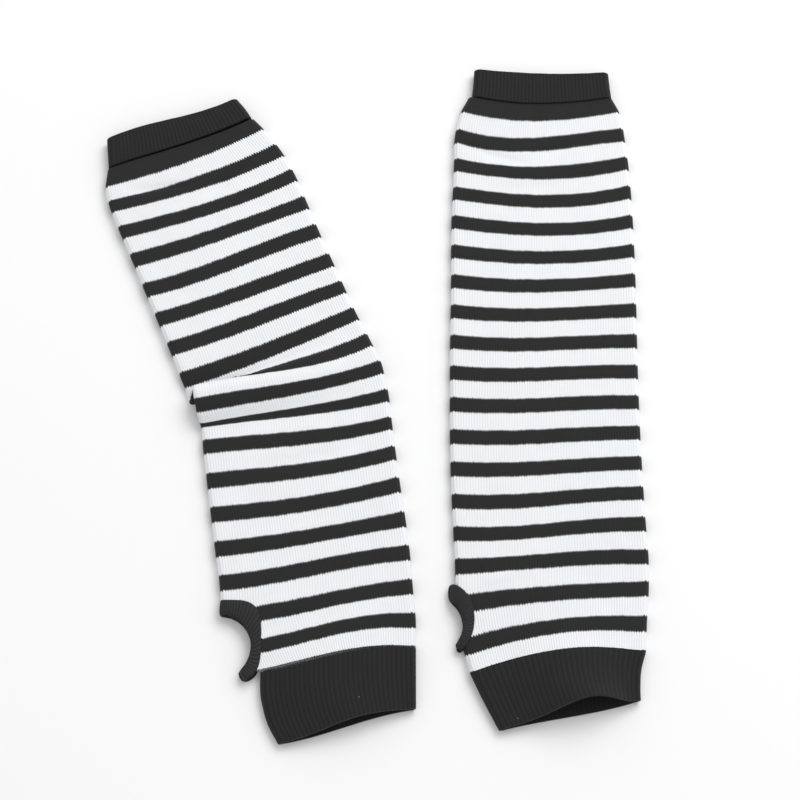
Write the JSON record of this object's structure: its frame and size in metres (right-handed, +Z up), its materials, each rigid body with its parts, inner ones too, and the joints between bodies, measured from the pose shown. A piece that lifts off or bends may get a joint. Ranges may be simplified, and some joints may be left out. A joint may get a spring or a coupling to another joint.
{
  "type": "pair of knitted arm warmers",
  "caption": "Pair of striped knitted arm warmers laid flat side by side, with ribbed cuffs and a bound thumb hole in each, one folded over itself half way up.",
  "frame": {"origin": "under the middle of the laid-out pair, on the surface it lies on", "axes": "+Y from the hand cuffs towards the arm cuffs, +X across the pair to the right, +Z up from the surface"},
  "size_m": [0.2348, 0.3066, 0.0149],
  "materials": {
    "striped_knit": "plain knit in black and white stripes",
    "black_rib": "matt ribbed knit",
    "black_binding": "matt overlocked binding"
  },
  "bodies": {
    "root": {"right_sleeve": "striped_knit", "right_hand_cuff": "black_rib", "right_arm_cuff": "black_rib", "right_thumb_binding": "black_binding", "left_sleeve_hand_stretch": "striped_knit", "left_sleeve_arm_stretch": "striped_knit", "left_hand_cuff": "black_rib", "left_arm_cuff": "black_rib", "left_thumb_binding": "black_binding"}
  },
  "joints": []
}
